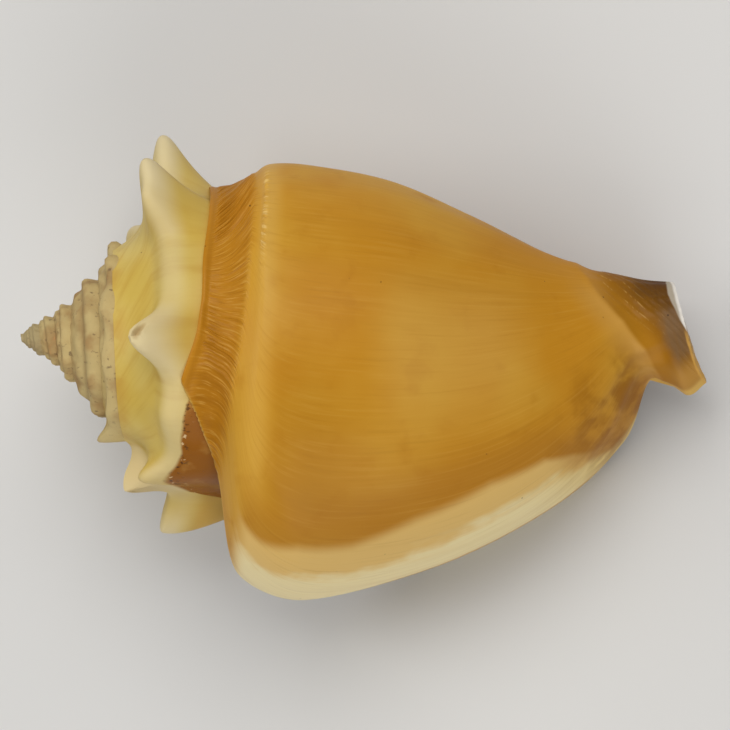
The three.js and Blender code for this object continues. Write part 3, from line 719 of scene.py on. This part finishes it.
# The older whorls: worn yellow, cream on the crown of spines, and chalky on the early spire, with painted
# shade in its grooves and in the front knob's pit.
old = stage.falling(-0.42, -0.2)
worn_and_shade = over(over(tone(200, 170, 78), tone(204, 180, 102), broad.rising(0.4, 0.6)),
            tone(180, 138, 52), streak.rising(0.45, 0.75) * 0.5)
worn_and_shade = over(worn_and_shade, tone(184, 138, 56), station.falling(0.2, 1) * medium.rising(0.35, 0.6) * 0.5)
worn_and_shade = over(worn_and_shade, tone(186, 142, 60), station.rising(3.3, 3.8) * (0.2 + stage.rising(-0.82, -0.7) * 0.5))
crown = station.rising(2.4, 3) * station.falling(3.2, 3.7)
on_spine = stage.curve((-1.25, 0.6), (-1.16, 1), (-1.08, 0.6), (-1.02, 1), (-0.96, 0.7), (-0.92, 1),
                       (-0.86, 0.4), (-0.79, 0.4), (-0.75, 1), (-0.7, 0.5), (-0.62, 0.5), (-0.57, 0.6),
                       (-0.54, 0.4), (-0.5, 0.8), (-0.48, 0.3), (-0.455, 1), (-0.42, 0.4))
worn_and_shade = over(worn_and_shade, tone(213, 196, 154), crown * on_spine * (medium.rising(0.2, 0.6) * 0.15 + 0.8))
blade = station.rising(0.3, 1) * station.falling(3.2, 3.4)
blade = blade * stage.rising(-0.54, -0.522) * stage.falling(-0.5, -0.488)
worn_and_shade = over(worn_and_shade, tone(206, 186, 140), blade * 0.8)
# Painted shade in the pit of the front knob, darkest at its middle.
across_pit = (stage - KNOB_STAGE) * 140
down_pit = (station - KNOB_STATION) * 9
pit = (across_pit * across_pit + down_pit * down_pit).falling(0.4, 1.6)
worn_and_shade = over(worn_and_shade, tone(150, 112, 52), pit * 0.5)
early = stage.falling(-1.75, -1.3)
chalk = over(over(tone(186, 164, 112), tone(160, 130, 84), medium.rising(0.4, 0.65)),
             tone(104, 84, 62), fine_grain.rising(0.6, 0.72) * 0.7)
chalk = over(chalk, tone(190, 128, 76), medium.rising(0.62, 0.7) * 0.5)
# Painted shade in the grooves between the rows of nodules on the early spire.
grooves = station.falling(0.1, 0.6) + station.rising(1.7, 2.1) * station.falling(2.1, 2.5)
chalk = over(chalk, tone(140, 114, 74), grooves * 0.45)
chalk = over(chalk, tone(146, 132, 100), stage.falling(-5.6, -4.6) * 0.6)
worn_and_shade = over(worn_and_shade, chalk, early)
colour = over(colour, worn_and_shade, old)

# The callus, a glaze by the mouth, its brown deepened by painted shade where the lip overhangs it. Its edge
# is pitted, and a few dark specks lie all over.
edge = stage.curve((-0.74, 0.42), (-0.68, 0.345), (-0.63, 0.322), (-0.6, 0.318), (-0.56, 0.325),
                   (-0.52, 0.32), (-0.493, 0.326), (-0.487, 0.395), (-0.455, 0.43), (-0.42, 0.4),
                   (-0.3, 0.36), (-0.1, 0.4), (0.05, 0.7), (0.08, 1))
edge = station - 10 * edge
glaze = (edge + (medium - 0.5) * 0.15).rising(0, 0.1)
glaze = glaze * stage.rising(-0.75, -0.7) * stage.falling(0.02, 0.08)
# The glaze's own brown, darkest toward the lip with painted shade where the lip overhangs the wall.
glaze_tone_with_lip_shade = over(over(tone(144, 86, 6), tone(176, 122, 44), stage.rising(-0.46, -0.36)),
                  tone(192, 146, 74), medium.rising(0.52, 0.75) * 0.5)
colour = over(colour, glaze_tone_with_lip_shade, glaze)
border = glaze * edge.falling(0.1, 0.35)
pits = fine_grain.rising(0.58, 0.66) * border
colour = over(colour, tone(70, 40, 14), pits * 0.8)
colour = over(colour, tone(226, 200, 150), fine_grain.falling(0.3, 0.36) * border * 0.8)
specks = node(tree, "ShaderNodeTexVoronoi", {"feature": "F1"}, place, None, 0.32)
colour = over(colour, tone(60, 40, 20), specks.falling(0.035, 0.05) * 0.7 * fine_grain.rising(0.5, 0.6))

bump = (streak * 0.3 + thread * 0.22) * (1 - glaze * 0.8) * lines
bump = bump + fine_grain * (early * 1.2 + 0.1) - pits * 1.5
normal = node(tree, "ShaderNodeBump", {}, 0.55, 0.00012, None, bump)
shader = tree.nodes["Principled BSDF"]
tree.links.new(colour.out, shader.inputs["Base Color"])
tree.links.new(normal.out, shader.inputs["Normal"])
roughness = 0.38 + medium * 0.12 + early * 0.25 - glaze * 0.06
tree.links.new(roughness.out, shader.inputs["Roughness"])
coat = (1 - early) * 0.04
tree.links.new(coat.out, shader.inputs["Coat Weight"])
shader.inputs["Coat Roughness"].default_value = 0.22
shader.inputs["Specular IOR Level"].default_value = 0.08
shell.data.materials[OUTER_SLOT] = outside

# The inside: polished salmon, cream along the lip, with a purple brown stain in the canal.
mouth = bpy.data.materials.new("shell_mouth")
mouth.use_nodes = True
tree, stage, station, place = growth_sockets(mouth)
medium = spots(tree, place, 0.25, 3)
streak = spots(tree, along(tree, stage * 60, station * 0.3), 1, 4, 0.6)
colour = over(tone(214, 128, 66), tone(232, 160, 100), medium.rising(0.35, 0.65))
colour = over(colour, tone(200, 112, 50), streak.rising(0.5, 0.75) * 0.4)
colour = over(colour, tone(230, 206, 160), (stage + (streak - 0.5) * 0.04).rising(0.42, 0.48))
colour = over(colour, tone(112, 62, 50), station.rising(7.4, 8.4) * (medium.rising(0.3, 0.6) * 0.3 + 0.6))
colour = over(colour, tone(226, 204, 170), station.rising(9.4, 9.9) * 0.7)
shader = tree.nodes["Principled BSDF"]
tree.links.new(colour.out, shader.inputs["Base Color"])
normal = node(tree, "ShaderNodeBump", {}, 0.4, 0.0001, None, streak)
tree.links.new(normal.out, shader.inputs["Normal"])
tree.links.new((0.2 + medium * 0.1).out, shader.inputs["Roughness"])
shader.inputs["Specular IOR Level"].default_value = 0.25
shader.inputs["Coat Weight"].default_value = 0.12
shader.inputs["Coat Roughness"].default_value = 0.1
shell.data.materials[MOUTH_SLOT] = mouth
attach(shell, "root")
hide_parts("shell")

# The floor, a plain pale sheet.
bpy.ops.object.select_all(action="DESELECT")
bpy.ops.mesh.primitive_plane_add(size=3, location=(0, 0, 0))
floor = bpy.context.object
floor.name = "floor"
sheet = bpy.data.materials.new("pale_floor")
sheet.use_nodes = True
shader = sheet.node_tree.nodes["Principled BSDF"]
shader.inputs["Base Color"].default_value = (0.62, 0.61, 0.59, 1)
shader.inputs["Roughness"].default_value = 0.8
floor.data.materials.append(sheet)


# The lights, all soft: one over the spire, the main one over the side away from the lip, and a
# fill from the lip's side.
def lamp(name, place, size, power):
    data = bpy.data.lights.new(name, "AREA")
    data.size = size
    data.energy = power
    light = bpy.data.objects.new(name, data)
    bpy.context.scene.collection.objects.link(light)
    light.location = place
    middle = Vector((0, 0, 0.02))
    light.rotation_euler = (middle - Vector(place)).to_track_quat("-Z", "Y").to_euler()


lamp("key", (-0.42, 0.12, 0.5), 0.35, 1.3)
lamp("front", (0.12, 0.46, 0.75), 0.6, 5.4)
lamp("fill", (0.15, -0.55, 0.32), 0.5, 2.1)
bpy.context.scene.view_settings.view_transform = "Standard"
world = bpy.data.worlds.new("studio")
bpy.context.scene.world = world
world.use_nodes = True
world.node_tree.nodes["Background"].inputs["Color"].default_value = (1, 1, 1, 1)
world.node_tree.nodes["Background"].inputs["Strength"].default_value = 0.16

# The camera, far off and long, looks straight at the back. The picture is as wide as this, in
# metres, and its middle is this point of the shell, in millimetres.
PICTURE_WIDTH = 0.09125
PICTURE_MIDDLE = (43.1, -3.4, 0)
right, up, to_camera = (Vector(side) for side in rest.T.tolist())
data = bpy.data.cameras.new("camera")
data.sensor_width = 36
data.lens = 300
camera = bpy.data.objects.new("camera", data)
bpy.context.scene.collection.objects.link(camera)
aim = Vector((np.array(PICTURE_MIDDLE) @ rest.T / 1000 + shift).tolist())
distance = PICTURE_WIDTH * data.lens / data.sensor_width
camera.matrix_world = Matrix.Translation(aim + to_camera * distance) @ Matrix((
    (right.x, up.x, to_camera.x, 0), (right.y, up.y, to_camera.y, 0), (right.z, up.z, to_camera.z, 0),
    (0, 0, 0, 1)))
bpy.context.scene.camera = camera
